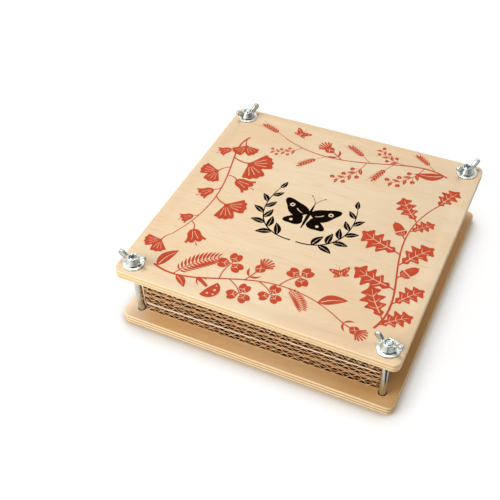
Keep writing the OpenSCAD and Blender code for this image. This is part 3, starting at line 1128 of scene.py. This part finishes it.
studio = {
    "floorSide": 6.0,
    "floorColour": (0.93, 0.93, 0.93),
    "floorTone": (0.90, 0.90, 0.89),
    "floorToneShare": 0.02,
    "floorLift": 0.885,  # how white the camera sees the floor, whatever the lamps give it
    "floorShare": 0.20,  # and how much of the lamps' own light and shade it sees on it
    "contactReach": 0.030,  # width of the soft shadow where the object stands
    "contactTone": (0.375, 0.275, 0.150),
    "rightShadeTone": (0.350, 0.325, 0.295),  # the same shadow on the right, where no wood glows into it
    "darkReflectionPatch": (0.096, 0.102, 0.17, 0.21),  # its sides along X: a painted dark patch on the floor beside the press, which only reflections see
    "darkReflectionPatchFront": (-0.097, -0.087),
    "darkReflectionPatchShare": 0.94,
    "roomStrength": 0.25,
    "paleWall": (0.80, 0.30, 0.52),  # direction of a paler wall, which lights the right side
    "paleStrength": 0.34,
    "roomColour": (1.0, 0.94, 0.86),
    "darkFrom": (0.26, -0.66, 0.71),  # direction of a dark patch in the room that metal mirrors
    "darkShare": 0.85,
    "keyPlace": (-0.28, 0.34, 2.0),
    "keySide": 0.55,
    "keyPower": 15.6,
    "keyColour": (1.0, 1.0, 1.0),
    "fillPlace": (-0.95, -0.95, 0.66),
    "fillSide": 1.1,
    "fillPower": 20.0,
    "fillColour": (1.0, 0.94, 0.85),
}


def floorFinish():
    made, spot, shader = newFinish("white_floor")
    seen = spot.node("LightPath", output=0)
    reflected = spot.node("LightPath", output=3)
    clear = spot.node("AmbientOcclusion", {"samples": 12}, {"Distance": studio["contactReach"]}, 1)
    tone = noise(spot, 3.0).between(0.3, 0.7)
    along = spot.part(0)
    # painted reflection: the floor turns dark beside the press, for reflected rays only
    sides = studio["darkReflectionPatch"]
    reflectionPatch = along.between(sides[0], sides[1]) * (1 - along.between(sides[2], sides[3]))
    reflectionPatch = reflectionPatch * (1 - spot.part(1).between(*studio["darkReflectionPatchFront"])) * reflected
    pale = blend(tone * studio["floorToneShare"], studio["floorColour"], studio["floorTone"])
    pale = blend(seen * (1 - studio["floorShare"]), pale, (0.0, 0.0, 0.0))
    tint = blend(along.between(0.09, 0.11), studio["contactTone"], studio["rightShadeTone"])
    glow = blend(clear.between(0.5, 1.0), tint, (1.0, 1.0, 1.0))
    connect(shader, Base_Color=blend(reflectionPatch * studio["darkReflectionPatchShare"], pale, (0.0, 0.0, 0.0)),
            Emission_Color=blend(seen, (0.0, 0.0, 0.0), glow), Roughness=0.9, Specular_IOR_Level=0.0,
            Emission_Strength=studio["floorLift"])
    return made


def makeFloor():
    half = studio["floorSide"] / 2
    mesh = bpy.data.meshes.new("floor")
    mesh.from_pydata([(-half, -half, 0), (half, -half, 0), (half, half, 0), (-half, half, 0)],
                     [], [(0, 1, 2, 3)])
    floor = newObject("floor", mesh)
    floor.data.materials.append(floorFinish())


def makeRoom():
    world = bpy.data.worlds.new("room")
    world.use_nodes = True
    tree = world.node_tree
    ground = next(n for n in tree.nodes if n.type == "BACKGROUND")
    ahead = Wire(tree).node("TexCoord", output=0)
    seen = ahead.node("LightPath", output=0)
    reflected = ahead.node("LightPath", output=3)
    patch = ahead.towards(studio["darkFrom"]).between(0.72, 0.95)
    wall = ahead.part(0).between(0.30, 0.60) * (1 - ahead.part(2).between(0.30, 0.55))
    bright = 1.0 - studio["darkShare"] * (patch + wall * (1 - patch))
    share = seen.maths("MAXIMUM", reflected)
    pale = ahead.towards(studio["paleWall"]).between(0.55, 0.95)
    lit = pale * studio["paleStrength"] + studio["roomStrength"]
    strength = lit + share * (seen + (1 - seen) * bright - lit)
    tree.links.new(strength.socket, ground.inputs["Strength"])
    tree.links.new(blend(share, studio["roomColour"], (1.0, 1.0, 1.0)).socket, ground.inputs["Color"])
    bpy.context.scene.world = world


def makeLamp(name):  # a square soft lamp turned to the middle of the object
    lamp = bpy.data.lights.new(name, "AREA")
    lamp.size = studio[name + "Side"]
    lamp.energy = studio[name + "Power"]
    lamp.color = studio[name + "Colour"]
    held = newObject(name, lamp)
    held.location = studio[name + "Place"]
    held.rotation_mode = "QUATERNION"
    held.rotation_quaternion = (-Vector(held.location)).to_track_quat("-Z", "Y")


view = {
    "place": (0.158227, -0.399396, 0.450207),
    "yaw": -27.218,  # degrees, a negative yaw looks to the left
    "pitch": 45.123,
    "roll": -2.638,
    "lens": 59.53,  # mm, and so is the sensor
    "sensor": 36.0,
}


def makeCamera():
    camera = newObject("camera", bpy.data.cameras.new("camera"))
    camera.data.lens = view["lens"]
    camera.data.sensor_width = view["sensor"]
    camera.data.clip_start = 0.01
    aim = Matrix.Rotation(radians(-view["yaw"]), 4, "Z")
    aim = aim @ Matrix.Rotation(radians(90 - view["pitch"]), 4, "X")
    aim = aim @ Matrix.Rotation(radians(view["roll"]), 4, "Z")
    camera.matrix_world = Matrix.Translation(view["place"]) @ aim
    bpy.context.scene.camera = camera


makeFloor()
makeRoom()
makeLamp("key")
makeLamp("fill")
makeCamera()
bpy.context.scene.view_settings.view_transform = "Standard"
print("studio ready")
